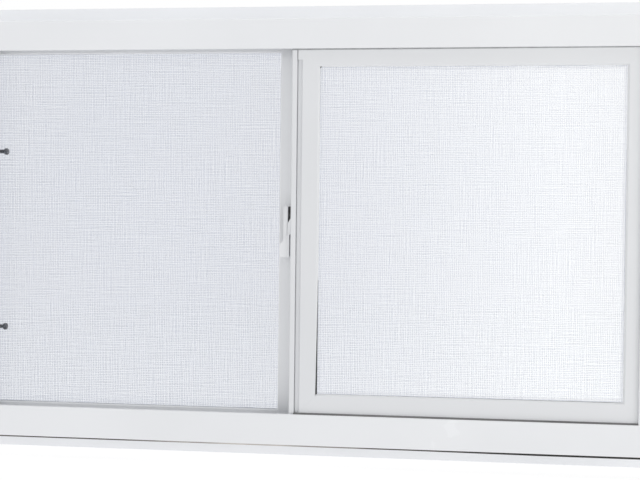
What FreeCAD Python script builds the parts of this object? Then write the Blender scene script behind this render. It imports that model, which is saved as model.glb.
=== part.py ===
import FreeCAD, Part
import math
import os

# Sliding vinyl window, seen from the room side. Lengths are millimetres.
# X runs along the sill to the right, Y runs from the room to the outside, Z is up.
# The origin lies on the room-side face of the fixing flange, at mid width of its bottom run.

# Overall frame
overall_width = 812.8
overall_height = 497.5
flange_width = 24.1
flange_thickness = 2.0
exterior_reach = 4.0
frame_face = 31.8
frame_wall = 2.2
lip_thickness = 3.0
edge_round = 1.2
edge_cut = 0.6
nose_drop = 1.1
nose_depth = 2.0
mitre_depth = 40.0

# Sash track in the frame
track_floor = 10.0
track_width = 23.5
rail_height = 10.5
rail_width = 2.4
rail_setback = 9.6
centre_leg_depth = 6.5

# Fixed glazing pocket and screen channel in the frame
glazing_floor = 17.0
glazing_depth = 22.0
upstand_thickness = 2.0
screen_floor = 4.0
screen_channel = 9.0
exterior_leg = 12.0
exterior_leg_thickness = 2.0

# Fixed meeting mullion
mullion_left = -25.95
mullion_width = 28.0
mullion_proud = 1.0
mullion_cover = 7.0

# Glass units
pane_thickness = 3.0
pane_gap = 6.7
spacer_width = 7.0
fixed_tape = 1.5
fixed_edge_clearance = 3.0
sash_tape = 0.8
sash_edge_clearance = 2.5
tape_setback = 1.0
tape_width = 7.0
block_length = 60.0
block_width = 11.0

# Sliding sash
sash_overlap = 12.6
sash_in_jamb = 15.0
sash_in_head = 11.3
sash_in_sill = 8.6
sash_face = 30.0
sash_depth = 20.2
sash_front_gap = 0.8
sash_wall = 2.0
sash_leg = 3.0
sash_bevel = 1.7
sash_pocket = 19.0
guide_depth = 6.0
guide_width = 6.0
stile_gap = 1.7
stile_gap_length = 125.0

# Finger groove in the meeting stile
groove_start = 5.6
groove_slot = 0.9
groove_slot_depth = 4.2
groove_floor_depth = 2.4
groove_floor_end = 10.6
groove_end = 11.5
groove_top_land = 11.4

# Glazing beads
bead_lip = 1.8
bead_slope = 3.8
bead_play = 2.1

# Sash rollers
wheel_radius = 6.5
wheel_root = 5.0
wheel_width = 5.0
wheel_play = 0.2
axle_radius = 1.25
roller_inset = 60.0
slot_play = 0.9

# Weatherstrips, the seal on the lip of the sill and the gasket under it
pile_width = 5.0
pile_inset = 3.0
seal_foot = 1.6
seal_height = 1.5
seal_blade = 0.7
gasket_height = 2.6
gasket_width = 8.0
gasket_end = 1.0

# Latch
latch_drop = -1.5
latch_plate_thickness = 5.0
latch_top = 28.4
latch_finger_left = 8.7
latch_finger_right = 4.1
latch_shoulder = 10.0
latch_shoulder_rise = 7.2
latch_finger_foot = 2.2
latch_finger_recess = 1.2
latch_slit_width = 0.7
latch_slit_depth = 2.6
latch_tab_gap = 2.1
latch_tab_left = 12.0
latch_tab_top = 11.5
latch_tab_bottom = 25.8
latch_finger_round = 1.0
latch_tab_round = 0.8
latch_body_top = 28.2
latch_body_length = 53.2
latch_body_width = 6.5
latch_body_depth = 5.0
latch_body_round = 1.2
latch_setback = 14.0
keeper_length = 42.0
keeper_width = 9.0
keeper_thickness = 0.9
keeper_lap = 1.0
keeper_rim = 2.5

# Insect screen
screen_clearance = 1.0
screen_bar = 13.0
screen_depth = 8.0
screen_wall = 1.0
screen_play = 0.2
spline_groove_width = 2.8
spline_groove_depth = 2.6
spline_inset = 2.0
spline_play = 0.2
mesh_thickness = 0.3

# Spring plungers in the left screen bar
plunger_heights = (87.0, -112.6)
plunger_setback = 2.9
plunger_shaft = 2.15
plunger_knob = 3.75
plunger_reach = 19.1
plunger_knob_length = 3.4
plunger_taper = 2.0
plunger_edge = 1.0
plunger_bite = 2.5
hole_play = 0.2

# Weep slots in the sill
weep_offset = 200.0
weep_length = 30.0
weep_height = 4.0

# Places worked out from the sizes above
body_width = overall_width - 2 * flange_width
body_height = overall_height - 2 * flange_width
body_bottom = flange_width / 2
body_top = body_bottom + body_height
middle = body_bottom + body_height / 2
leg_inside = exterior_reach - exterior_leg_thickness
upstand_back = leg_inside - screen_channel
pocket_back = upstand_back - upstand_thickness
leg_back = pocket_back - glazing_depth
leg_front = leg_back - centre_leg_depth
lip_back = leg_front - track_width
front = lip_back - lip_thickness
rail_front = lip_back + rail_setback
rail_top = track_floor + rail_height
unit_depth = 2 * pane_thickness + pane_gap
fixed_bite = frame_face - glazing_floor
sash_front = lip_back + sash_front_gap
sash_back = sash_front + sash_depth
sash_bite = sash_face - sash_pocket
mullion_front = leg_front - mullion_proud
mullion_right = mullion_left + mullion_width
guide_front = rail_front + rail_width / 2 - guide_width / 2
screen_front = upstand_back + screen_play
screen_back = screen_front + screen_depth
screen_inset = screen_floor + screen_clearance
plunger_depth = screen_front + plunger_setback
groove_inner = screen_bar - spline_inset
groove_outer = groove_inner - spline_groove_width
groove_bottom = screen_back - spline_groove_depth


def grow(rect, amount):
    """Rectangle (left, right, bottom, top) made larger by an amount on every side."""
    left, right, bottom, top = rect
    return (left - amount, right + amount, bottom - amount, top + amount)


body_rect = (-body_width / 2, body_width / 2, body_bottom, body_top)
opening_rect = grow(body_rect, -frame_face)
fixed_light = (opening_rect[0], mullion_left, opening_rect[2], opening_rect[3])
sash_rect = (mullion_right - sash_overlap, opening_rect[1] + sash_in_jamb,
             opening_rect[2] - sash_in_sill, opening_rect[3] + sash_in_head)
sash_light = grow(sash_rect, -sash_face)
screen_rect = grow(body_rect, -screen_inset)


def box(x0, x1, y0, y1, z0, z1):
    """Block between two opposite corners."""
    return Part.makeBox(x1 - x0, y1 - y0, z1 - z0, FreeCAD.Vector(x0, y0, z0))


def corner_points(before, corner, after, radius):
    """Points that replace one corner of an outline.

    A radius gives the start, middle and end of an arc, and a negative one the ends of a flat cut.
    """
    into = (before - corner).normalize()
    out = (after - corner).normalize()
    if radius == 0:
        return [corner]
    if radius < 0:
        return [corner - into * radius, corner - out * radius]
    half_angle = into.getAngle(out) / 2
    reach = radius / math.tan(half_angle)
    bisector = (into + out).normalize()
    middle_point = corner + bisector * (radius / math.sin(half_angle) - radius)
    return [corner + into * reach, middle_point, corner + out * reach]


def outline(points, place):
    """Closed wire through (a, b) or (a, b, radius) corners, laid out in space by place."""
    corners = [place(point[0], point[1]) for point in points]
    radii = [point[2] if len(point) > 2 else 0 for point in points]
    count = len(points)
    bends = [corner_points(corners[i - 1], corners[i], corners[(i + 1) % count], radii[i])
             for i in range(count)]
    edges = []
    for i, bend in enumerate(bends):
        if len(bend) == 3:
            edges.append(Part.Arc(*bend).toShape())
        elif len(bend) == 2:
            edges.append(Part.LineSegment(*bend).toShape())
        following = bends[(i + 1) % count]
        edges.append(Part.LineSegment(bend[-1], following[0]).toShape())
    return Part.Wire(edges)


def section(outer, hollows, place):
    """Flat face with chambers cut out of it."""
    face = Part.Face(outline(outer, place))
    for hollow in hollows:
        face = face.cut(Part.Face(outline(hollow, place)))
    return face


def one_solid(shape):
    """The single solid that a cut or a fuse leaves."""
    if len(shape.Solids) != 1:
        raise ValueError("expected one solid, found %d" % len(shape.Solids))
    return shape.Solids[0]


def bar(rect, side, outer, hollows=(), outward=0.0):
    """One side of a rectangular frame, mitred at both ends.

    The outer profile and its chambers are (u, y) outlines, where u runs inward from the rectangle.
    """
    left, right, bottom, top = rect
    places = {
        "top": lambda u, y: FreeCAD.Vector(left - outward, y, top - u),
        "bottom": lambda u, y: FreeCAD.Vector(left - outward, y, bottom + u),
        "left": lambda u, y: FreeCAD.Vector(left + u, y, bottom - outward),
        "right": lambda u, y: FreeCAD.Vector(right - u, y, bottom - outward),
    }
    if side in ("top", "bottom"):
        run = FreeCAD.Vector(right - left + 2 * outward, 0, 0)
    else:
        run = FreeCAD.Vector(0, 0, top - bottom + 2 * outward)
    length = section(outer, hollows, places[side]).extrude(run)
    return one_solid(length.common(mitre(rect, side, outward)))


def mitre(rect, side, outward):
    """Wedge that trims one side of a rectangular frame to its two corner diagonals."""
    big = grow(rect, outward)
    small = grow(rect, -mitre_depth)
    ends = {"top": (3, 0, 1), "bottom": (2, 0, 1), "left": (0, 2, 3), "right": (1, 2, 3)}
    across, start, end = ends[side]
    if side in ("top", "bottom"):
        spots = [(big[start], big[across]), (big[end], big[across]),
                 (small[end], small[across]), (small[start], small[across])]
    else:
        spots = [(big[across], big[start]), (big[across], big[end]),
                 (small[across], small[end]), (small[across], small[start])]
    deep = overall_width / 4
    wedge = Part.Face(Part.makePolygon([FreeCAD.Vector(x, -deep, z) for x, z in spots + spots[:1]]))
    return wedge.extrude(FreeCAD.Vector(0, 2 * deep, 0))


def ring(outer_rect, inner_rect, y0, y1):
    """Flat rectangular ring."""
    outer = box(outer_rect[0], outer_rect[1], y0, y1, outer_rect[2], outer_rect[3])
    inner = box(inner_rect[0], inner_rect[1], y0, y1, inner_rect[2], inner_rect[3])
    return one_solid(outer.cut(inner))


def sheet(rect, y0, y1):
    """Flat rectangular sheet."""
    return box(rect[0], rect[1], y0, y1, rect[2], rect[3])


def frame_profile(front_corner):
    """Extruded frame section: flange, room lip, track with roller rail, centre leg, glazing
    pocket, screen channel and outside leg. The front corner is given by its own points."""
    return [
        (-flange_width, 0),
        (0, 0),
        *front_corner,
        (frame_face, front, edge_round),
        (frame_face, lip_back, -edge_cut),
        (track_floor, lip_back),
        (track_floor, rail_front),
        (rail_top, rail_front, -edge_cut),
        (rail_top, rail_front + rail_width, -edge_cut),
        (track_floor, rail_front + rail_width),
        (track_floor, leg_front),
        (frame_face, leg_front, -edge_cut),
        (frame_face, leg_back, -edge_cut),
        (glazing_floor, leg_back),
        (glazing_floor, upstand_back),
        (screen_floor, upstand_back),
        (screen_floor, leg_inside),
        (exterior_leg, leg_inside, -edge_cut),
        (exterior_leg, exterior_reach, -edge_cut),
        (0, exterior_reach, -edge_cut),
        (0, flange_thickness),
        (-flange_width, flange_thickness),
    ]


def frame_chambers():
    """Air chambers under the track, inside the centre leg and under the glazing pocket."""
    web = frame_wall
    under_track = [
        (web, front + web),
        (track_floor - web, front + web),
        (track_floor - web, leg_front),
        (web, leg_front),
    ]
    inside_leg = [
        (web, leg_front + web),
        (frame_face - web, leg_front + web),
        (frame_face - web, leg_back - web),
        (web, leg_back - web),
    ]
    under_glass = [
        (web, leg_back),
        (glazing_floor - web, leg_back),
        (glazing_floor - web, upstand_back - web),
        (web, upstand_back - web),
    ]
    return [under_track, inside_leg, under_glass]


def frame_bar(side):
    """One mitred side of the outer frame."""
    profile = frame_profile([(0, front, edge_round)])
    return bar(body_rect, side, profile, frame_chambers(), outward=flange_width)


def weep_slots():
    """Drain slots through the outside leg of the sill."""
    low = body_bottom + screen_floor
    slots = [box(x - weep_length / 2, x + weep_length / 2, 0, 2 * exterior_reach, low, low + weep_height)
             for x in (-weep_offset, weep_offset)]
    return slots[0].fuse(slots[1])


def plunger_holes(radius):
    """Two holes along X at the plunger heights."""
    start = -overall_width / 2
    holes = [Part.makeCylinder(radius, overall_width / 4,
                               FreeCAD.Vector(start, plunger_depth, middle + height),
                               FreeCAD.Vector(1, 0, 0)) for height in plunger_heights]
    return holes[0].fuse(holes[1])


def frame_sill():
    """Sill with its drain slots and a small nose below its room face."""
    nose = [
        (0, front + nose_depth),
        (-nose_drop, front + nose_depth),
        (-nose_drop, front, edge_round),
    ]
    sill = bar(body_rect, "bottom", frame_profile(nose), frame_chambers(), outward=flange_width)
    for start, end in ((-overall_width / 2, body_rect[0]), (body_rect[1], overall_width / 2)):
        sill = sill.cut(box(start, end, front, front + nose_depth, 0, body_bottom))
    return one_solid(sill.cut(weep_slots()))


def frame_jamb_left():
    """Left jamb with the two holes that the plunger tips enter."""
    tips = plunger_holes(plunger_shaft + hole_play)
    near = box(-overall_width / 2, screen_rect[0], upstand_back, exterior_reach,
               body_bottom, body_top)
    blind = box(-overall_width / 2, body_rect[0] + screen_floor - plunger_bite - hole_play,
                upstand_back, exterior_reach, body_bottom, body_top)
    return one_solid(frame_bar("left").cut(tips.common(near).cut(blind)))


def fixed_mullion():
    """Meeting mullion of the fixed light, notched over the centre legs of the head and sill."""
    web = frame_wall
    left = mullion_left
    pocket = left + fixed_bite
    place = lambda x, y: FreeCAD.Vector(x, y, body_bottom + glazing_floor)
    outer = [
        (left, mullion_front, edge_round),
        (mullion_right, mullion_front, edge_round),
        (mullion_right, pocket_back, -edge_cut),
        (pocket, pocket_back),
        (pocket, leg_back),
        (left, leg_back, -edge_cut),
    ]
    front_chamber = [
        (left + web, mullion_front + web),
        (mullion_right - web, mullion_front + web),
        (mullion_right - web, leg_back - web),
        (left + web, leg_back - web),
    ]
    back_chamber = [
        (pocket + web, leg_back),
        (mullion_right - web, leg_back),
        (mullion_right - web, pocket_back - web),
        (pocket + web, pocket_back - web),
    ]
    height = body_height - 2 * glazing_floor
    post = section(outer, [front_chamber, back_chamber], place).extrude(FreeCAD.Vector(0, 0, height))
    for low, high in ((body_bottom, opening_rect[2]), (opening_rect[3], body_top)):
        post = post.cut(box(left, mullion_right, leg_front, leg_back, low, high))
    cover_low = opening_rect[2] - mullion_cover
    cover_high = opening_rect[3] + mullion_cover
    for low, high in ((body_bottom, cover_low), (cover_high, body_top)):
        post = post.cut(box(left, mullion_right, mullion_front, leg_front, low, high))
    return one_solid(post)


def bead_bar(light, bite, y0, y1, side):
    """Glazing bead: a strip with a sloped face towards the glass."""
    height = bite - bead_play
    profile = [
        (0, y0),
        (height, y0),
        (height, y0 + bead_lip),
        (height - bead_slope, y1, -edge_cut),
        (0, y1),
    ]
    return bar(grow(light, bite), side, profile)


def sash_chamber():
    """Chamber of the plain sash rails, bent round the guide groove."""
    web = sash_wall
    high = sash_pocket - web
    return [
        (web, sash_front + web),
        (high, sash_front + web),
        (high, sash_back - web),
        (web, sash_back - web),
        (web, guide_front + guide_width + web),
        (guide_depth + web, guide_front + guide_width + web),
        (guide_depth + web, guide_front - web),
        (web, guide_front - web),
    ]


def sash_outline(outer_corner):
    """Sash outline from its outer edge round the room face and the glass pocket to its back."""
    return [
        (0, sash_front, outer_corner),
        (sash_face - sash_bevel, sash_front, edge_round),
        (sash_face, sash_front + sash_bevel),
        (sash_face, sash_front + sash_leg),
        (sash_pocket, sash_front + sash_leg),
        (sash_pocket, sash_back),
        (0, sash_back, -edge_cut),
    ]


def sash_rail(side):
    """Plain sash member with a guide groove in its outer edge."""
    guide = [
        (0, guide_front + guide_width),
        (guide_depth, guide_front + guide_width),
        (guide_depth, guide_front),
        (0, guide_front),
    ]
    return bar(sash_rect, side, sash_outline(-edge_cut) + guide, [sash_chamber()])


def roller_centres():
    """Places of the two roller axles along the bottom rail."""
    return (sash_rect[0] + roller_inset, sash_rect[1] - roller_inset)


def roller_height():
    """Height of the roller axles, so that each wheel runs on the sill rail."""
    return body_bottom + rail_top + wheel_play + wheel_root


def sash_bottom_rail():
    """Bottom rail with slots in its guide groove for the rollers."""
    rail = sash_rail("bottom")
    mid = rail_front + rail_width / 2
    half_slot = wheel_width / 2 + wheel_play
    reach = wheel_radius + slot_play
    for x in roller_centres():
        rail = rail.cut(box(x - reach, x + reach, mid - half_slot, mid + half_slot,
                            sash_rect[2], roller_height() + reach))
    return one_solid(rail)


def roller(x):
    """Grooved wheel on its axle, which spans the guide groove."""
    half = wheel_width / 2
    end = guide_width / 2
    flat = rail_width / 2 + wheel_play
    centre = FreeCAD.Vector(x, rail_front + rail_width / 2, roller_height())
    rim = [
        (0, -end),
        (axle_radius, -end),
        (axle_radius, -half),
        (wheel_radius, -half),
        (wheel_root, -flat),
        (wheel_root, flat),
        (wheel_radius, half),
        (axle_radius, half),
        (axle_radius, end),
        (0, end),
    ]
    face = Part.Face(outline(rim, lambda r, y: centre + FreeCAD.Vector(r, y, 0)))
    return one_solid(face.revolve(centre, FreeCAD.Vector(0, 1, 0), 360))


def sash_meeting_stile():
    """Meeting stile with the pull lip, its finger groove and the slot beside it.

    The edge next to the glass leaves a tapering gap at its lower end.
    """
    web = sash_wall
    high = sash_pocket - web
    under_groove = sash_front + groove_slot_depth + web
    chamber = [
        (web, under_groove),
        (groove_end - web / 2, under_groove),
        (groove_end + web, sash_front + web),
        (high, sash_front + web),
        (high, sash_back - web),
        (web, sash_back - web),
    ]
    stile = bar(sash_rect, "left", sash_outline(edge_round), [chamber])
    groove_top = opening_rect[3] - groove_top_land
    place = lambda u, y: FreeCAD.Vector(sash_rect[0] + u, y, sash_rect[2])
    groove = [
        (groove_start, sash_front),
        (groove_start, sash_front + groove_floor_depth),
        (groove_floor_end, sash_front + groove_floor_depth),
        (groove_end, sash_front),
    ]
    run = FreeCAD.Vector(0, 0, groove_top - sash_rect[2])
    stile = stile.cut(Part.Face(outline(groove, place)).extrude(run))
    slot = box(sash_rect[0] + groove_start, sash_rect[0] + groove_start + groove_slot,
               sash_front, sash_front + groove_slot_depth, sash_rect[2], sash_rect[3])
    taper = [
        (sash_face - stile_gap, sash_face - stile_gap),
        (sash_face + stile_gap, sash_face - stile_gap),
        (sash_face + stile_gap, sash_face + stile_gap_length),
        (sash_face, sash_face + stile_gap_length),
    ]
    edge = lambda u, z: FreeCAD.Vector(sash_rect[0] + u, sash_front, sash_rect[2] + z)
    gap = Part.Face(outline(taper, edge)).extrude(FreeCAD.Vector(0, sash_leg, 0))
    return one_solid(stile.cut(slot).cut(gap))


def glass_unit(light, bite, clearance, face):
    """Two panes and the spacer bar between their edges."""
    unit = grow(light, bite - clearance)
    inner = sheet(unit, face, face + pane_thickness)
    spacer = ring(unit, grow(unit, -spacer_width), face + pane_thickness, face + pane_thickness + pane_gap)
    outer = sheet(unit, face + pane_thickness + pane_gap, face + unit_depth)
    return inner, spacer, outer


def glazing_tape(light, y0, y1):
    """Soft tape between the glass and the fixed leg in front of it."""
    return ring(grow(light, tape_setback + tape_width), grow(light, tape_setback), y0, y1)


def setting_blocks(light, bite, clearance, face):
    """Two blocks that carry the glass on the floor of its pocket."""
    width = light[1] - light[0]
    low = light[2] - bite
    mid = face + unit_depth / 2
    blocks = [box(x - block_length / 2, x + block_length / 2, mid - block_width / 2,
                  mid + block_width / 2, low, low + clearance)
              for x in (light[0] + width / 4, light[1] - width / 4)]
    return Part.makeCompound(blocks)


def meeting_weatherstrip():
    """Pile strip behind the meeting stile that closes the gap to the mullion."""
    left = sash_rect[0] + pile_inset
    return box(left, left + pile_width, sash_back, mullion_front, opening_rect[2], opening_rect[3])


def sash_weatherstrips():
    """Pile strips behind the rails and the jamb stile, against the centre leg."""
    top = sash_rect[3] - pile_inset
    low = sash_rect[2] + pile_inset
    right = sash_rect[1] - pile_inset
    strips = [
        box(mullion_right + pile_inset, right, sash_back, leg_front, top - pile_width, top),
        box(mullion_right + pile_inset, right, sash_back, leg_front, low, low + pile_width),
        box(right - pile_width, right, sash_back, leg_front, low + 2 * pile_width, top - 2 * pile_width),
    ]
    return Part.makeCompound(strips)


def sill_seal():
    """Seal on the lip of the sill, leaning on the room face of the sash."""
    start = sash_rect[0] + groove_start
    foot = opening_rect[2]
    place = lambda y, z: FreeCAD.Vector(start, sash_front + y, foot + z)
    back = lip_back - sash_front - edge_cut
    profile = [
        (back - seal_foot, 0),
        (back, 0),
        (0, seal_height - seal_blade),
        (0, seal_height),
        (back, seal_height),
        (back - seal_foot, seal_blade),
    ]
    return Part.Face(outline(profile, place)).extrude(FreeCAD.Vector(opening_rect[1] - start, 0, 0))


def sill_gasket():
    """Gasket strip under the sill, behind its nose."""
    back = front + nose_depth
    return box(body_rect[0] + gasket_end, body_rect[1] - gasket_end, back, back + gasket_width,
               body_bottom - gasket_height, body_bottom)


def latch_lever():
    """Latch lever: a narrow recessed finger above, a slanted shoulder and a wide tab below."""
    y0 = sash_back - latch_setback
    place = lambda x, z: FreeCAD.Vector(sash_rect[0] + x, y0, middle + latch_drop + z)
    slant = latch_tab_left - latch_finger_left
    shape = [
        (-latch_finger_left, latch_top, latch_finger_round),
        (-latch_finger_right, latch_top, latch_finger_round),
        (-latch_finger_right, latch_shoulder),
        (0, latch_shoulder + latch_shoulder_rise),
        (0, 0),
        (-latch_tab_gap, -latch_finger_foot),
        (-latch_tab_gap, -latch_tab_bottom, latch_tab_round),
        (-latch_tab_left, -latch_tab_bottom, latch_tab_round),
        (-latch_tab_left, -latch_tab_top),
        (-latch_finger_left, -latch_tab_top + slant),
    ]
    plate = Part.Face(outline(shape, place)).extrude(FreeCAD.Vector(0, latch_plate_thickness, 0))
    finger_width = latch_finger_left - latch_finger_right
    finger = [
        (-latch_finger_left - finger_width, latch_top + finger_width),
        (0, latch_top + finger_width),
        (0, latch_shoulder + latch_shoulder_rise + finger_width),
        (-latch_finger_right, latch_shoulder),
        (-latch_finger_right, -latch_finger_foot),
        (-latch_finger_left - finger_width, -latch_finger_foot - 2 * finger_width),
    ]
    recess = Part.Face(outline(finger, place)).extrude(FreeCAD.Vector(0, latch_finger_recess, 0))
    slit_edge = sash_rect[0] - latch_finger_right
    slit = box(slit_edge - latch_slit_width, slit_edge, y0, y0 + latch_slit_depth,
               middle + latch_drop - latch_finger_foot,
               middle + latch_drop + latch_shoulder + latch_slit_width)
    return one_solid(plate.cut(recess).cut(slit))


def latch_body():
    """Latch case on the edge of the pull lip, behind the lever."""
    edge = sash_rect[0]
    y0 = sash_back - latch_setback + latch_plate_thickness
    top = middle + latch_drop + latch_body_top
    case = box(edge - latch_body_width, edge, y0, y0 + latch_body_depth, top - latch_body_length, top)
    across = [line for line in case.Edges
              if line.BoundBox.XLength > line.BoundBox.YLength + line.BoundBox.ZLength]
    return one_solid(case.makeFillet(latch_body_round, across))


def latch_keeper():
    """Thin strike plate on the face of the mullion, with the slot that the latch enters."""
    left = sash_rect[0] - keeper_width + keeper_lap
    height = middle + latch_drop
    plate = box(left, left + keeper_width, mullion_front - keeper_thickness, mullion_front,
                height - keeper_length / 2, height + keeper_length / 2)
    slot = box(left + keeper_rim, left + keeper_width - keeper_rim,
               mullion_front - keeper_thickness, mullion_front,
               height - keeper_length / 4, height + keeper_length / 4)
    return one_solid(plate.cut(slot))


def screen_profile():
    """Rolled screen bar with a spline groove in its outside face."""
    return [
        (0, screen_front, -edge_cut),
        (screen_bar, screen_front, -edge_cut),
        (screen_bar, screen_back, -edge_cut),
        (groove_inner, screen_back),
        (groove_inner, groove_bottom),
        (groove_outer, groove_bottom),
        (groove_outer, screen_back),
        (0, screen_back, -edge_cut),
    ]


def screen_chamber():
    """Hollow of the rolled screen bar."""
    web = screen_wall
    return [
        (web, screen_front + web),
        (screen_bar - web, screen_front + web),
        (screen_bar - web, groove_bottom - web),
        (groove_outer - web, groove_bottom - web),
        (groove_outer - web, screen_back - web),
        (web, screen_back - web),
    ]


def screen_member(side):
    """One side of the insect screen frame."""
    return bar(screen_rect, side, screen_profile(), [screen_chamber()])


def screen_bar_left():
    """Left screen bar, bored for the plungers."""
    return one_solid(screen_member("left").cut(plunger_holes(plunger_shaft + hole_play)))


def groove_line():
    """Rectangle along the middle of the spline groove."""
    return grow(screen_rect, -(groove_inner + groove_outer) / 2)


def screen_mesh():
    """The insect mesh as one thin sheet on the outside of the bars."""
    return sheet(groove_line(), screen_back, screen_back + mesh_thickness)


def screen_spline():
    """Spline pressed into the groove all round."""
    half = spline_groove_width / 2 - spline_play
    return ring(grow(groove_line(), half), grow(groove_line(), -half),
                groove_bottom + spline_play, screen_back - spline_play)


def plunger(height):
    """Spring plunger: a shaft through the bar into the jamb, with a flared knob."""
    y = plunger_depth
    z = middle + height
    tip = body_rect[0] + screen_floor - plunger_bite
    bar_edge = screen_rect[0] + screen_bar
    end = bar_edge + plunger_reach
    flare = end - plunger_knob_length
    place = lambda x, r: FreeCAD.Vector(x, y + r, z)
    half = [
        (tip, 0),
        (tip, plunger_shaft),
        (flare - plunger_taper, plunger_shaft),
        (flare, plunger_knob),
        (end - plunger_edge, plunger_knob),
        (end, plunger_knob - plunger_edge),
        (end, 0),
    ]
    turned = Part.Face(outline(half, place)).revolve(FreeCAD.Vector(0, y, z), FreeCAD.Vector(1, 0, 0), 360)
    return one_solid(turned)


def build():
    """Every piece of the window by its name."""
    fixed_face = leg_back + fixed_tape
    sash_glass_face = sash_front + sash_leg + sash_tape
    pieces = {
        "frame_head": frame_bar("top"),
        "frame_sill": frame_sill(),
        "frame_jamb_left": frame_jamb_left(),
        "frame_jamb_right": frame_bar("right"),
        "fixed_mullion": fixed_mullion(),
        "sash_top_rail": sash_rail("top"),
        "sash_bottom_rail": sash_bottom_rail(),
        "sash_jamb_stile": sash_rail("right"),
        "sash_meeting_stile": sash_meeting_stile(),
        "meeting_weatherstrip": meeting_weatherstrip(),
        "sash_weatherstrips": sash_weatherstrips(),
        "sill_seal": sill_seal(),
        "sill_gasket": sill_gasket(),
        "latch_lever": latch_lever(),
        "latch_body": latch_body(),
        "latch_keeper": latch_keeper(),
        "screen_bar_top": screen_member("top"),
        "screen_bar_bottom": screen_member("bottom"),
        "screen_bar_left": screen_bar_left(),
        "screen_bar_right": screen_member("right"),
        "screen_mesh": screen_mesh(),
        "screen_spline": screen_spline(),
    }
    fixed = glass_unit(fixed_light, fixed_bite, fixed_edge_clearance, fixed_face)
    sash = glass_unit(sash_light, sash_bite, sash_edge_clearance, sash_glass_face)
    for name, unit in (("fixed", fixed), ("sash", sash)):
        pieces[name + "_glass_inner"] = unit[0]
        pieces[name + "_glass_spacer"] = unit[1]
        pieces[name + "_glass_outer"] = unit[2]
    pieces["fixed_glazing_tape"] = glazing_tape(fixed_light, leg_back, fixed_face)
    pieces["sash_glazing_tape"] = glazing_tape(sash_light, sash_front + sash_leg, sash_glass_face)
    pieces["fixed_setting_blocks"] = setting_blocks(fixed_light, fixed_bite,
                                                    fixed_edge_clearance, fixed_face)
    pieces["sash_setting_blocks"] = setting_blocks(sash_light, sash_bite,
                                                   sash_edge_clearance, sash_glass_face)
    for side in ("top", "bottom", "left", "right"):
        pieces["fixed_bead_" + side] = bead_bar(fixed_light, fixed_bite, fixed_face + unit_depth,
                                                pocket_back, side)
        pieces["sash_bead_" + side] = bead_bar(sash_light, sash_bite, sash_glass_face + unit_depth,
                                               sash_back, side)
    for name, x in zip(("sash_roller_left", "sash_roller_right"), roller_centres()):
        pieces[name] = roller(x)
    for name, height in zip(("screen_plunger_upper", "screen_plunger_lower"), plunger_heights):
        pieces[name] = plunger(height)
    return pieces


os.makedirs("parts", exist_ok=True)
for node, shape in build().items():
    shape.exportStep(os.path.join("parts", node + ".step"))
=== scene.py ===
import math

import bpy
import numpy as np
from mathutils import Matrix, Vector

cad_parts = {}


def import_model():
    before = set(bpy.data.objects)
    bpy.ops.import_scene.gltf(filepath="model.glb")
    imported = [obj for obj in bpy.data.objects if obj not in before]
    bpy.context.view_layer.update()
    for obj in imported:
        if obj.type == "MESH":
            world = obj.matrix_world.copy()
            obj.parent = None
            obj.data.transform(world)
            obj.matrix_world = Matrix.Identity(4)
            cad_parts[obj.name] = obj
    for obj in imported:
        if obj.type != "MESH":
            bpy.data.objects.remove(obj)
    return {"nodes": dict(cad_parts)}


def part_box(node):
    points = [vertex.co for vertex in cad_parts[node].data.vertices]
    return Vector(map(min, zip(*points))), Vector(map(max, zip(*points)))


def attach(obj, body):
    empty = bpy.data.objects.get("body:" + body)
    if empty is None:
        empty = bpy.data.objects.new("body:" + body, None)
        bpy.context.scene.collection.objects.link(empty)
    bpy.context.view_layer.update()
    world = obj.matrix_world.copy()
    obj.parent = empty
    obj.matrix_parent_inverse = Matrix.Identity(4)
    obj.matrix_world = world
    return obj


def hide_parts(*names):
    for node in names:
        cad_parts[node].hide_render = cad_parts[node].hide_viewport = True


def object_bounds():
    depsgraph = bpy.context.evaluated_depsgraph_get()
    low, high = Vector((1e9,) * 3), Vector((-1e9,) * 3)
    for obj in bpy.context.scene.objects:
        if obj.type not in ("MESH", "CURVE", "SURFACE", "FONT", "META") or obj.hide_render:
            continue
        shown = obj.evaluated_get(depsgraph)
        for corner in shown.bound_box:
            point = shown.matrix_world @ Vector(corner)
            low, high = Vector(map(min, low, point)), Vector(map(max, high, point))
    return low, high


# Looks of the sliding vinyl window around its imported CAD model. Lengths are metres.
# X runs along the sill to the right, Y from the room to the outside, Z is up.

MM = 0.001
SEED = 41

# Camera, from a fit to the straight edges of the window. Angles are radians, the sensor is in mm.
CAMERA_PLACE = (0.17629, -1.27797, 0.24765)
CAMERA_TURN = 0.12665
CAMERA_TILT = -0.0157
CAMERA_ROLL = 0.01132
CAMERA_REACH = (0.05, 50)
FOCAL_PIXELS = 1164.85
PICTURE_WIDTH = 640
SENSOR_WIDTH = 36.0

# Pale and deep tone of each material
WHITE = ((0.80, 0.81, 0.83), (0.775, 0.785, 0.805))
SASH_WHITE = ((0.73, 0.74, 0.76), (0.705, 0.715, 0.735))
LATCH_WHITE = ((0.79, 0.80, 0.82), (0.75, 0.76, 0.78))
PAINT_WHITE = ((0.78, 0.79, 0.80), (0.74, 0.75, 0.76))
NYLON = ((0.62, 0.61, 0.57), (0.55, 0.54, 0.50))
ALUMINIUM = ((0.62, 0.63, 0.65), (0.52, 0.53, 0.55))
STEEL = ((0.60, 0.60, 0.61), (0.50, 0.50, 0.52))
GLAZING_GREY = ((0.62, 0.63, 0.64), (0.55, 0.56, 0.57))
PILE_GREY = ((0.40, 0.41, 0.42), (0.30, 0.31, 0.32))
MESH_GREY = ((0.58, 0.61, 0.73), (0.52, 0.55, 0.67))
SEAL_BLACK = ((0.18, 0.18, 0.184), (0.09, 0.09, 0.092))
CORD_BLACK = ((0.10, 0.10, 0.105), (0.06, 0.06, 0.065))
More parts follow.
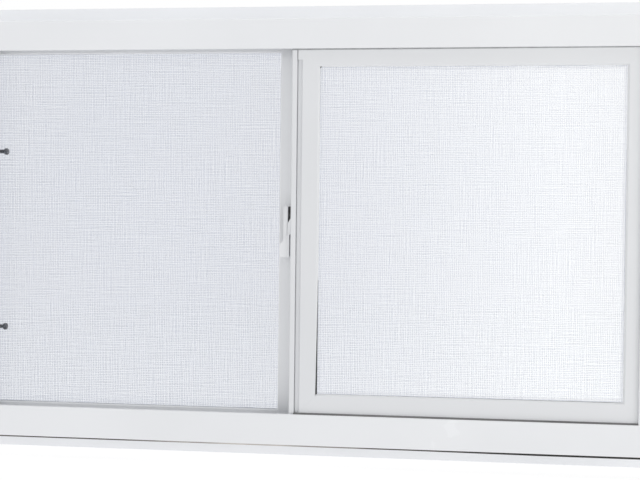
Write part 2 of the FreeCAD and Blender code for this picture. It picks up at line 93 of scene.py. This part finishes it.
GAP_SHADE_BLACK = ((0.06, 0.06, 0.063), (0.035, 0.035, 0.038))
PLUNGER_BLACK = ((0.20, 0.20, 0.21), (0.025, 0.025, 0.027))
CASE_BLACK = ((0.52, 0.53, 0.55), (0.02, 0.02, 0.022))
GLASS_TINT = ((0.976, 0.981, 0.9915), (0.972, 0.978, 0.9895))

# Foam under the sill, dark as painted shade of the gap under the sill body: its tone along X, how much
# of it is left in green and blue, and how far the borders of the tones waver, as a share of their whole run
FOAM_SHADE = ((-0.40, 0.10), (-0.20, 0.09), (-0.15, 0.26), (-0.07, 0.55), (0.03, 0.28), (0.10, 0.09),
        (0.24, 0.02), (0.40, 0.02))
FOAM_SHADE_WARMTH = (1, 0.93, 0.88)
FOAM_SHADE_WAVER = 0.04

# Finishes: the roughness from its smoothest to its roughest, where all that share the finish have the
# same, the features a metre of the roughness and of the fine grain, and the grain's depth and strength
VINYL_FINISH = {"rough": (0.34, 0.46), "patches": 160.0, "grain": 1400.0, "depth": 0.012 * MM,
                "strength": 0.7}
PLASTIC_FINISH = {"patches": 300.0, "grain": 1500.0, "depth": 0.02 * MM, "strength": 0.8}
RUBBER_FINISH = {"rough": (0.6, 0.85), "patches": 400.0, "grain": 2200.0, "depth": 0.03 * MM,
                 "strength": 0.8}
METAL_FINISH = {"patches": 700.0, "grain": 2500.0, "depth": 0.01 * MM, "strength": 0.6}
PAINT_FINISH = {"rough": (0.36, 0.5), "patches": 240.0, "grain": 1100.0, "depth": 0.02 * MM,
                "strength": 0.7}

# How much paler the thin flange is painted than the hollow bars of the same vinyl: painted light
FLANGE_PAINTED_LIGHT = 1.10

# Share of the light that glass mirrors straight on, and how steeply it grows at a slant
MIRROR_LEAST = 0.04
MIRROR_POWER = 5.0

# Insect mesh of thin coated threads, the upright ones on the room side of the level ones. They wander
# by a share of the pitch at every step, and lean by the skew.
THREAD = 0.26 * MM
PITCH_ACROSS = 2.01 * MM
PITCH_UP = 1.94 * MM
THREAD_SHIFT = 0.02 * MM
THREAD_WANDER = 0.15
THREAD_STEP = 20 * MM
THREAD_SKEW = 0.004

# Cord in the groove of the insect screen
CORD_RADIUS = 1.15 * MM
CORD_RIB = 0.12 * MM
CORD_STEP = 0.9 * MM
CORD_SIDES = 10

# Weld seams at the mitres, and the part of each mitre that they cover
SEAM_WIDTH = 0.5 * MM
SEAM_HEIGHT = 0.1 * MM
SEAM_REACH = (0.42, 0.93)

# Painted shade as dark strips: in the gap at the foot of the meeting stile, in the upper corner of the
# glass, and along the foot of the glass, where the strip rises to the right
GAP_WIDTH = 1.65 * MM
GAP_LENGTH = 121 * MM
GAP_DEPTH = 1.6 * MM
CORNER_SHADE = 1.4 * MM
FOOT_RISE = 0.32 * MM
FOOT_DEPTH = 0.5 * MM

# Grey strip of painted shade under the lip of the head, in the pile's colour, with its drop at the left and
# at the right
HEAD_SHADE_DEPTH = 0.7 * MM
HEAD_SHADE_PLAY = 0.1 * MM
HEAD_SHADE_DROP = (1.3 * MM, 0.8 * MM)
HEAD_SHADE_COVER = 3 * MM

# Dark foam strip under the right half of the sill as painted shade, and where its drop begins and is full
FOAM_EDGE_RUN = (110 * MM, 250 * MM)
FOAM_EDGE_DROP = 0.7 * MM
FOAM_EDGE_DEPTH = 2 * MM

# Light of the surroundings
SURROUNDINGS = 0.54
SURROUNDINGS_TINT = (0.985, 0.992, 1)

# Floor: the light it gives the object, its own light and paleness near the window, its half width, and
# the distances between which it passes to plain white
FLOOR_LIGHT = 1.05
FLOOR_NEAR = 0.86
FLOOR_SHADE = 0.2
FLOOR_REACH = 6.0
FLOOR_FADE = (0.6, 2.4)

# Card that the glass mirrors: its ends, place, top and highest strength, and its light along X
CARD_ENDS = (-1.3, 1.7)
CARD_PLACE = -0.42
CARD_TOP = 1.4
CARD_PEAK = 2.5
CARD_LEVELS = (
    (-0.507, (0.60, 0.59, 0.58)),
    (-0.084, (0.80, 0.79, 0.77)),
    (-0.026, (1.05, 1.03, 1.01)),
    (0.10, (1.52, 1.49, 1.38)),
    (0.30, (2.48, 2.43, 2.20)),
)

# Lamps: name, place, the point that it is turned to, width and height, watts
LAMPS = (
    ("key", (4.3, -3.0, 1.1), (0, 0, 0.24), (2.8, 2.2), 54),
    ("front", (-1.3, -1.8, 0.7), (0, 0, 0.24), (1.6, 0.5), 5.5),
    ("top", (0, 0, 2.2), (0, 0, 0), (2.4, 1.6), 20),
)


def camera():
    """Camera at the viewing angle of the photograph."""
    data = bpy.data.cameras.new("camera")
    data.sensor_width = SENSOR_WIDTH
    data.lens = FOCAL_PIXELS * SENSOR_WIDTH / PICTURE_WIDTH
    data.clip_start, data.clip_end = CAMERA_REACH
    made = bpy.data.objects.new("camera", data)
    bpy.context.scene.collection.objects.link(made)
    turn = Matrix.Rotation(CAMERA_TURN, 4, "Z")
    tilt = Matrix.Rotation(math.pi / 2 + CAMERA_TILT, 4, "X")
    roll = Matrix.Rotation(CAMERA_ROLL, 4, "Z")
    made.matrix_world = Matrix.Translation(CAMERA_PLACE) @ turn @ tilt @ roll
    bpy.context.scene.camera = made


class Shader:
    """A node material, with short calls for its usual parts."""

    def __init__(self, name):
        self.material = bpy.data.materials.new(name)
        self.material.use_nodes = True
        self.nodes = self.material.node_tree.nodes
        self.links = self.material.node_tree.links
        self.nodes.clear()
        self.output = self.nodes.new("ShaderNodeOutputMaterial")
        self.place = self.nodes.new("ShaderNodeTexCoord").outputs["Object"]
        self.height = None

    def link(self, source, target):
        self.links.new(source, target)

    def add(self, kind, *sources, **values):
        """A node with its inputs linked in order, then plain values by socket name."""
        made = self.nodes.new(kind)
        for source, target in zip(sources, made.inputs):
            self.link(source, target)
        for name, value in values.items():
            made.inputs[name.replace("_", " ")].default_value = value
        return made

    def math(self, operation, source, *constants):
        """A number worked out from a source and one or two constants."""
        made = self.add("ShaderNodeMath", source)
        made.operation = operation
        for socket, value in zip(made.inputs[1:], constants):
            socket.default_value = value
        return made.outputs[0]

    def total(self, first, second):
        """The sum of two numbers."""
        return self.add("ShaderNodeMath", first, second).outputs[0]

    def show(self, surface):
        """Makes a shader node the surface of the material."""
        self.link(surface.outputs[0], self.output.inputs["Surface"])
        return self

    def principled(self, **values):
        """The Principled shader, with plain values by socket name (spaces as underscores)."""
        self.surface = self.add("ShaderNodeBsdfPrincipled", **values)
        return self.show(self.surface)

    def position(self, axis):
        """Where a point lies along X, Y or Z, in metres."""
        return self.add("ShaderNodeSeparateXYZ", self.place).outputs[axis]

    def noise(self, scale, detail=3.0, stretch=(1, 1, 1)):
        """Noise with about scale features a metre, drawn out where stretch is under 1."""
        mapping = self.add("ShaderNodeMapping", self.place, Scale=stretch)
        return self.add("ShaderNodeTexNoise", mapping.outputs[0], Scale=scale, Detail=detail).outputs[0]

    def span(self, factor, low, high, start=0.3, end=0.7):
        """A number from low to high, as factor runs from start to end."""
        return self.add("ShaderNodeMapRange", factor, From_Min=start, From_Max=end,
                        To_Min=low, To_Max=high).outputs[0]

    def tones(self, factor, *stops):
        """Colours along a factor, as (position, colour) stops in rising order."""
        ramp = self.add("ShaderNodeValToRGB", factor)
        elements = ramp.color_ramp.elements
        while len(elements) < len(stops):
            elements.new(1.0)
        for element, (position, colour) in zip(elements, stops):
            element.position = position
            element.color = (*colour, 1)
        return ramp.outputs[0]

    def tones_by_x(self, levels, waver=0):
        """Colours along X, as (X, colour) levels, whose borders waver by a share of the whole run."""
        start, end = levels[0][0], levels[-1][0]
        share = self.span(self.position("X"), 0.0, 1.0, start, end)
        if waver:
            share = self.total(share, self.span(self.noise(30.0, 4.0), -waver, waver))
        return self.tones(share, *(((x - start) / (end - start), colour) for x, colour in levels))

    def base(self, tones):
        """Makes these colours the base colour."""
        self.link(tones, self.surface.inputs["Base Color"])

    def colour(self, factor, pale, deep):
        """Base colour between two close tones."""
        self.base(self.tones(factor, (0.3, deep), (0.7, pale)))

    def bump(self, factor, depth, strength):
        """Relief of the given depth, on top of any earlier one."""
        bump = self.add("ShaderNodeBump", Strength=strength, Distance=depth)
        self.link(factor, bump.inputs["Height"])
        if self.height is not None:
            self.link(self.height, bump.inputs["Normal"])
        self.height = bump.outputs[0]
        self.link(self.height, self.surface.inputs["Normal"])

    def finish(self, rough, patches, grain, depth, strength, stretch=(1, 1, 1)):
        """Roughness between two values in patches, and a fine grain in relief. Gives back the material."""
        roughness = self.span(self.noise(patches, 3.0, stretch), *rough)
        self.link(roughness, self.surface.inputs["Roughness"])
        self.bump(self.noise(grain, 2.0, stretch), depth, strength)
        return self.material


def vinyl(name, pale, deep, along):
    """Satin white extruded vinyl, with fine die lines along the run of the bar.

    It is painted a little paler in the thin flange, which lies beyond Y = 0: painted light, as the flange
    is the same vinyl.
    """
    made = Shader(name).principled(IOR=1.5, Specular_IOR_Level=0.25)
    # Painted light: the flange beyond Y = 0 gets a paler tone than the bars
    painted_light_flange = made.span(made.position("Y"), 0.0, 0.5, -1.0 * MM, 0.0)
    patches = made.span(made.noise(9.0, 4.0), 0.0, 0.5)
    lit_flange_pale, lit_flange_deep = ([value * FLANGE_PAINTED_LIGHT for value in shade] for shade in (pale, deep))
    made.base(made.tones(made.total(painted_light_flange, patches),
                         (0.0, deep), (0.49, pale), (0.51, lit_flange_deep), (1.0, lit_flange_pale)))
    made.finish(stretch=tuple(0.02 if axis == along else 1.0 for axis in "XYZ"), **VINYL_FINISH)
    made.bump(made.noise(900.0, 2.0), 0.010 * MM, 0.6)
    return made.material


def plastic(name, pale, deep, rough, patches=60.0):
    """Moulded plastic with a fine spark-eroded grain."""
    made = Shader(name).principled(IOR=1.5)
    made.colour(made.noise(patches, 4.0), pale, deep)
    return made.finish(rough, **PLASTIC_FINISH)


def latch_case(name, lit_foot_grey, upper_black):
    """Black moulded plastic, lighter grey towards its foot: painted light in the deep gap by the lever."""
    low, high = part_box("latch_body")
    middle = (low.z + high.z) / 2
    made = Shader(name).principled(IOR=1.5)
    # Painted light: the case turns grey towards its foot, so the deep gap there reads less dark
    painted_light_below = made.span(made.position("Z"), 0.7, 0.2, middle - 3 * MM, middle + 6 * MM)
    specks = made.span(made.noise(250.0, 4.0), -0.08, 0.08)
    made.base(made.tones(made.total(painted_light_below, specks), (0.2, upper_black), (0.7, lit_foot_grey)))
    return made.finish((0.4, 0.6), **PLASTIC_FINISH)


def rubber(name, pale, deep, patches=120.0):
    """Matt rubber or foam with a dusty bloom in patches."""
    made = Shader(name).principled(IOR=1.5, Specular_IOR_Level=0.35)
    made.colour(made.noise(patches, 5.0), pale, deep)
    return made.finish(**RUBBER_FINISH)


def gasket_foam(name):
    """Dark foam as painted shade of the gap under the sill body, paler in a stretch left of the middle."""
    made = Shader(name).principled(IOR=1.5, Specular_IOR_Level=0.35)
    # Painted shade: the tone along X stands for the shade of the gap under the sill body
    levels = [(x, [tone * share for share in FOAM_SHADE_WARMTH]) for x, tone in FOAM_SHADE]
    made.base(made.tones_by_x(levels, FOAM_SHADE_WAVER))
    return made.finish(**RUBBER_FINISH)


def metal(name, pale, deep, rough, brushed=(1, 1, 1)):
    """Bare or plated metal, brushed along the direction where brushed is under 1."""
    made = Shader(name).principled(Metallic=1.0)
    made.colour(made.noise(70.0, 4.0), pale, deep)
    return made.finish(rough, stretch=brushed, **METAL_FINISH)


def paint(name, pale, deep):
    """White baked enamel on rolled aluminium."""
    made = Shader(name).principled(IOR=1.5, Coat_Weight=0.25, Coat_Roughness=0.2)
    made.colour(made.noise(14.0, 4.0), pale, deep)
    return made.finish(**PAINT_FINISH)


def glass(name, clear, haze):
    """Clear float glass: what is behind shows through it, and it mirrors more at a slant."""
    made = Shader(name)
    through = made.add("ShaderNodeBsdfTransparent", made.tones(made.noise(4.0), (0.3, clear), (0.7, haze)))
    mirror = made.add("ShaderNodeBsdfGlossy")
    made.link(made.span(made.noise(12.0, 4.0), 0.01, 0.05), mirror.inputs["Roughness"])
    facing = made.add("ShaderNodeLayerWeight", Blend=0.5).outputs["Facing"]
    slant = made.math("POWER", facing, MIRROR_POWER)
    share = made.math("MULTIPLY_ADD", slant, 1 - MIRROR_LEAST, MIRROR_LEAST)
    made.show(made.add("ShaderNodeMixShader", share, through.outputs[0], mirror.outputs[0]))
    return made.material


def dress(nodes, material, *prefixes):
    """Gives a material to every CAD node whose name starts with one of the prefixes."""
    for name, part in nodes.items():
        if name.startswith(prefixes):
            part.data.materials.clear()
            part.data.materials.append(material)


def mesh_object(name, points, faces, material):
    """A mesh piece from points and faces."""
    data = bpy.data.meshes.new(name)
    data.from_pydata([tuple(point) for point in points], [], [tuple(face) for face in faces])
    data.update()
    data.materials.append(material)
    made = bpy.data.objects.new(name, data)
    bpy.context.scene.collection.objects.link(made)
    return made


def bars(paths, sides, outs):
    """Closed four-sided bars along paths of equally many points, with half widths sides and outs."""
    count, knots = paths.shape[:2]
    rings = np.stack([sides, outs, -sides, -outs], -2)
    points = paths[:, :, None, :] + rings[..., None, :, :]
    base = np.arange(count)[:, None] * knots * 4
    here = (base + np.arange(knots - 1) * 4).reshape(-1, 1)
    walls = [here + np.array((i, (i + 1) % 4, 4 + (i + 1) % 4, 4 + i)) for i in range(4)]
    caps = [base + np.array((3, 2, 1, 0)), base + np.array((0, 1, 2, 3)) + 4 * (knots - 1)]
    return points.reshape(-1, 3), np.concatenate(walls + caps)


def slabs(*shapes):
    """Thin upright plates. Each shape is a ring of (x, z) corners, a front and a back Y.

    The corners go anticlockwise as seen from the room.
    """
    points, faces = [], []
    for ring, front, back in shapes:
        base, count = len(points), len(ring)
        points += [(x, y, z) for y in (front, back) for x, z in ring]
        walls = [(i, count + i, count + (i + 1) % count, (i + 1) % count) for i in range(count)]
        for face in (range(count), range(2 * count - 1, count - 1, -1), *walls):
            faces.append([base + i for i in face])
    return points, faces


def threads(low, high, run, pitch, depth, draw):
    """Parallel threads of the insect mesh, set side by side along the axis run (0 or 2)."""
    rest = 2 - run
    places = np.arange(low[run] + 1.5 * pitch, high[run] - pitch, pitch)
    lengths = np.linspace(low[rest], high[rest], round((high[rest] - low[rest]) / THREAD_STEP) + 1)
    knots = np.zeros((len(places), len(lengths), 3))
    knots[:, :, run] = places[:, None] + (lengths - lengths.mean()) * THREAD_SKEW
    knots[:, :, run] += draw.normal(0, THREAD_WANDER * pitch, knots.shape[:2])
    knots[:, :, 1] = depth
    knots[:, :, rest] = lengths
    along, side = np.eye(3)[rest], np.eye(3)[run] * THREAD / 2
    return bars(knots, side, np.cross(along, side))


def insect_mesh(material):
    """The insect mesh as its own threads, upright ones and level ones."""
    low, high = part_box("screen_mesh")
    draw = np.random.default_rng(SEED)
    middle = (low.y + high.y) / 2
    upright, upright_faces = threads(low, high, 0, PITCH_ACROSS, middle - THREAD_SHIFT, draw)
    level, level_faces = threads(low, high, 2, PITCH_UP, middle + THREAD_SHIFT, draw)
    made = mesh_object("insect_mesh_threads", np.concatenate([upright, level]),
                       np.concatenate([upright_faces, level_faces + len(upright)]), material)
    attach(made, "root")
    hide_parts("screen_mesh")


def screen_cord(material):
    """The ribbed rubber cord that holds the insect mesh in its groove, a closed ring of round sections."""
    low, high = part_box("screen_spline")
    half = (high.y - low.y) / 2
    corners = np.array(((low.x + half, low.z + half), (high.x - half, low.z + half),
                        (high.x - half, high.z - half), (low.x + half, high.z - half)))
    inward = np.array(((1, 1), (-1, 1), (-1, -1), (1, -1)))
    spots, across = [], []
    for i in range(4):
        after = (i + 1) % 4
        count = int(math.dist(corners[i], corners[after]) / CORD_STEP)
        share = np.arange(count)[:, None] / count
        spots.append(corners[i] * (1 - share) + corners[after] * share)
        across += [inward[i]] + [(inward[i] + inward[after]) / 2] * (count - 1)
    spots, across = np.concatenate(spots), np.array(across)
    rings = np.arange(len(spots))
    radius = np.where(rings % 2, CORD_RADIUS - CORD_RIB, CORD_RADIUS)[:, None]
    turn = np.arange(CORD_SIDES) * 2 * math.pi / CORD_SIDES
    points = np.zeros((len(spots), CORD_SIDES, 3))
    points[:, :, 0::2] = spots[:, None, :] + across[:, None, :] * (radius * np.cos(turn))[:, :, None]
    points[:, :, 1] = (low.y + high.y) / 2 + radius * np.sin(turn)
    here = rings[:, None] * CORD_SIDES
    there = np.roll(here, -1, 0)
    side = np.arange(CORD_SIDES)
    beside = np.roll(side, -1)
    faces = np.stack([here + side, here + beside, there + beside, there + side], -1)
    made = mesh_object("screen_spline_cord", points.reshape(-1, 3), faces.reshape(-1, 4), material)
    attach(made, "root")
    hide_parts("screen_spline")


def weld_seams(material):
    """Fine raised seams across the mitres of the sash, on its room face."""
    jamb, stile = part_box("sash_jamb_stile"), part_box("sash_meeting_stile")
    lower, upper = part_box("sash_bottom_rail"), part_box("sash_top_rail")
    paths, sides = [], []
    for outer_x, inner_x in ((stile[0].x, stile[1].x), (jamb[1].x, jamb[0].x)):
        for outer_z, inner_z in ((lower[0].z, lower[1].z), (upper[1].z, upper[0].z)):
            corner = Vector((outer_x, stile[0].y, outer_z))
            light = Vector((inner_x, stile[0].y, inner_z))
            along = (light - corner).normalized()
            paths.append([corner.lerp(light, share) for share in SEAM_REACH])
            sides.append(Vector((-along.z, 0, along.x)) * SEAM_WIDTH / 2)
    outs = np.tile((0, -SEAM_HEIGHT, 0), (len(paths), 1))
    made = mesh_object("sash_weld_seams", *bars(np.array(paths), np.array(sides), outs), material)
    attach(made, "root")


def shade_in_gaps(material):
    """Painted shade as dark strips round the glass of the sash: in the tapering gap, in the upper corner,
    along the foot.
    """
    left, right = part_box("sash_meeting_stile")[1].x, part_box("sash_jamb_stile")[0].x
    foot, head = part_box("sash_bottom_rail")[1].z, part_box("sash_top_rail")[0].z
    tape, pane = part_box("sash_glazing_tape")[0].y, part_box("sash_glass_inner")[0].y
    wedge = ((left - GAP_WIDTH, foot), (left, foot), (left, foot + GAP_LENGTH))
    corner = ((left, head), (left, head - CORNER_SHADE), (left + CORNER_SHADE, head))
    line = ((left, foot), (right, foot), (right, foot + FOOT_RISE))
    points, faces = slabs((wedge, tape - GAP_DEPTH, tape), (corner, tape - GAP_DEPTH, tape),
                          (line, pane - FOOT_DEPTH, pane))
    made = mesh_object("sash_gap_shade_strip", points, faces, material)
    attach(made, "root")


def shade_under_head(material):
    """Painted shade of the gap between the lip of the head and the sash: a grey strip, which stands a
    little below the lip.
    """
    rail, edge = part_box("sash_top_rail"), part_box("frame_head")[0].z
    left, right = rail[0].x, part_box("sill_seal")[1].x
    ring = ((left, edge - HEAD_SHADE_DROP[0]), (right, edge - HEAD_SHADE_DROP[1]),
            (right, edge + HEAD_SHADE_COVER), (left, edge + HEAD_SHADE_COVER))
    points, faces = slabs((ring, rail[0].y - HEAD_SHADE_DEPTH, rail[0].y - HEAD_SHADE_PLAY))
    made = mesh_object("sash_head_shade_strip", points, faces, material)
    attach(made, "root")


def foam_shade_edge(material):
    """Strip of the gasket's dark foam, lower towards the right: painted shade under the sill."""
    low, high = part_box("sill_gasket")
    begin, full = FOAM_EDGE_RUN
    foot = low.z - FOAM_EDGE_DROP
    ring = ((begin, low.z), (full, foot), (high.x, foot), (high.x, low.z))
    points, faces = slabs((ring, low.y, low.y + FOAM_EDGE_DEPTH))
    made = mesh_object("sill_gasket_painted_shade", points, faces, material)
    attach(made, "root")


def area_light(name, place, target, size, power):
    """A soft lamp turned to a point, which nothing mirrors."""
    data = bpy.data.lights.new(name, "AREA")
    data.shape = "RECTANGLE"
    data.size, data.size_y = size
    data.energy = power
    made = bpy.data.objects.new(name, data)
    bpy.context.scene.collection.objects.link(made)
    made.location = place
    aim = Vector(target) - Vector(place)
    made.rotation_euler = aim.to_track_quat("-Z", "Y").to_euler()
    made.visible_glossy = False


def seen_directly(nodes, links):
    """1 for what the eye sees of the background, straight, through glass or in a mirror."""
    path = nodes.new("ShaderNodeLightPath")
    seen = path.outputs["Is Camera Ray"]
    for ray in ("Is Transmission Ray", "Is Glossy Ray"):
        larger = nodes.new("ShaderNodeMath")
        larger.operation = "MAXIMUM"
        links.new(seen, larger.inputs[0])
        links.new(path.outputs[ray], larger.inputs[1])
        seen = larger.outputs[0]
    return seen


def world():
    """White background, and a plain even light for the object."""
    made = bpy.data.worlds.new("world")
    bpy.context.scene.world = made
    made.use_nodes = True
    nodes, links = made.node_tree.nodes, made.node_tree.links
    nodes.clear()
    output = nodes.new("ShaderNodeOutputWorld")
    seen = nodes.new("ShaderNodeBackground")
    seen.inputs["Color"].default_value = (1, 1, 1, 1)
    light = nodes.new("ShaderNodeBackground")
    light.inputs["Color"].default_value = (*SURROUNDINGS_TINT, 1)
    light.inputs["Strength"].default_value = SURROUNDINGS
    mix = nodes.new("ShaderNodeMixShader")
    links.new(seen_directly(nodes, links), mix.inputs["Fac"])
    links.new(light.outputs[0], mix.inputs[1])
    links.new(seen.outputs[0], mix.inputs[2])
    links.new(mix.outputs[0], output.inputs["Surface"])


def floor(height):
    """Plain white floor that keeps a faint shadow close to the window."""
    made = Shader("floor")
    shade = made.add("ShaderNodeBsdfDiffuse", Color=(FLOOR_SHADE, FLOOR_SHADE, FLOOR_SHADE, 1))
    glow = made.add("ShaderNodeEmission", Strength=FLOOR_NEAR)
    near = made.add("ShaderNodeAddShader", shade.outputs[0], glow.outputs[0])
    far = made.add("ShaderNodeEmission", Strength=1.0)
    distance = made.add("ShaderNodeVectorMath", made.place)
    distance.operation = "LENGTH"
    away = made.span(distance.outputs["Value"], 0.0, 1.0, *FLOOR_FADE)
    seen = made.add("ShaderNodeMixShader", away, near.outputs[0], far.outputs[0])
    light = made.add("ShaderNodeEmission", Strength=FLOOR_LIGHT)
    made.show(made.add("ShaderNodeMixShader", seen_directly(made.nodes, made.links),
                       light.outputs[0], seen.outputs[0]))
    points = [(x * FLOOR_REACH, y * FLOOR_REACH, height) for x, y in ((-1, -1), (1, -1), (1, 1), (-1, 1))]
    mesh_object("floor", points, [(0, 1, 2, 3)], made.material)


def bright_card(height):
    """Soft bright card before the window, which only the glass and other gloss mirror."""
    made = Shader("bright_card")
    levels = [(x, [value / CARD_PEAK for value in colour]) for x, colour in CARD_LEVELS]
    made.show(made.add("ShaderNodeEmission", made.tones_by_x(levels), Strength=CARD_PEAK))
    left, right = CARD_ENDS
    points = [(left, CARD_PLACE, height), (right, CARD_PLACE, height),
              (right, CARD_PLACE, CARD_TOP), (left, CARD_PLACE, CARD_TOP)]
    card = mesh_object("bright_card", points, [(0, 1, 2, 3)], made.material)
    card.visible_camera = False
    card.visible_diffuse = False
    card.visible_transmission = False
    card.visible_shadow = False


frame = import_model()
nodes = frame["nodes"]
cad_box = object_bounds()
camera()

dress(nodes, vinyl("white_vinyl_level", *WHITE, "X"),
      "frame_head", "frame_sill", "fixed_bead_top", "fixed_bead_bottom")
dress(nodes, vinyl("white_vinyl_upright", *WHITE, "Z"),
      "frame_jamb", "fixed_mullion", "fixed_bead_left", "fixed_bead_right")
dress(nodes, vinyl("sash_vinyl_level", *SASH_WHITE, "X"),
      "sash_top", "sash_bottom", "sash_bead_top", "sash_bead_bottom")
dress(nodes, vinyl("sash_vinyl_upright", *SASH_WHITE, "Z"),
      "sash_meeting", "sash_jamb", "sash_bead_left", "sash_bead_right")
dress(nodes, glass("clear_glass", *GLASS_TINT), "fixed_glass", "sash_glass")
dress(nodes, metal("spacer_aluminium", *ALUMINIUM, (0.3, 0.5)), "fixed_glass_spacer", "sash_glass_spacer")
dress(nodes, rubber("glazing_rubber", *GLAZING_GREY),
      "fixed_glazing", "sash_glazing", "fixed_setting", "sash_setting")
dress(nodes, plastic("roller_nylon", *NYLON, (0.4, 0.55)), "sash_roller")
dress(nodes, plastic("latch_plastic", *LATCH_WHITE, (0.34, 0.46)), "latch_lever")
dress(nodes, latch_case("dark_plastic", *CASE_BLACK), "latch_body")
dress(nodes, metal("keeper_steel", *STEEL, (0.25, 0.4), brushed=(1, 1, 0.03)), "latch_keeper")
dress(nodes, paint("screen_paint", *PAINT_WHITE), "screen_bar")
dress(nodes, plastic("plunger_black", *PLUNGER_BLACK, (0.25, 0.4), patches=420.0), "screen_plunger")
dress(nodes, rubber("seal_rubber", *SEAL_BLACK, patches=14.0), "sill_seal")
# Painted shade: dark strips in the gap, the corner and along the foot of the sash's glass
shade_in_gaps(rubber("painted_gap_shade", *GAP_SHADE_BLACK))
# The pile's grey serves the real weatherstrips and the strip of painted shade under the head
pile = rubber("pile", *PILE_GREY)
dress(nodes, pile, "meeting_weatherstrip", "sash_weatherstrips")
shade_under_head(pile)
# Sill gasket foam: its dark tone along X is painted shade of the gap under the sill body
foam = gasket_foam("gasket_foam")
dress(nodes, foam, "sill_gasket")
# Painted shade: a strip of dark foam under the right of the sill
foam_shade_edge(foam)
screen_cord(rubber("spline_rubber", *CORD_BLACK))
insect_mesh(plastic("insect_mesh", *MESH_GREY, (0.5, 0.7)))
weld_seams(vinyl("sash_seam_vinyl", *SASH_WHITE, "Y"))

world()
floor(cad_box[0].z)
bright_card(cad_box[0].z)
for lamp in LAMPS:
    area_light(*lamp)
bpy.context.scene.view_settings.view_transform = "Standard"
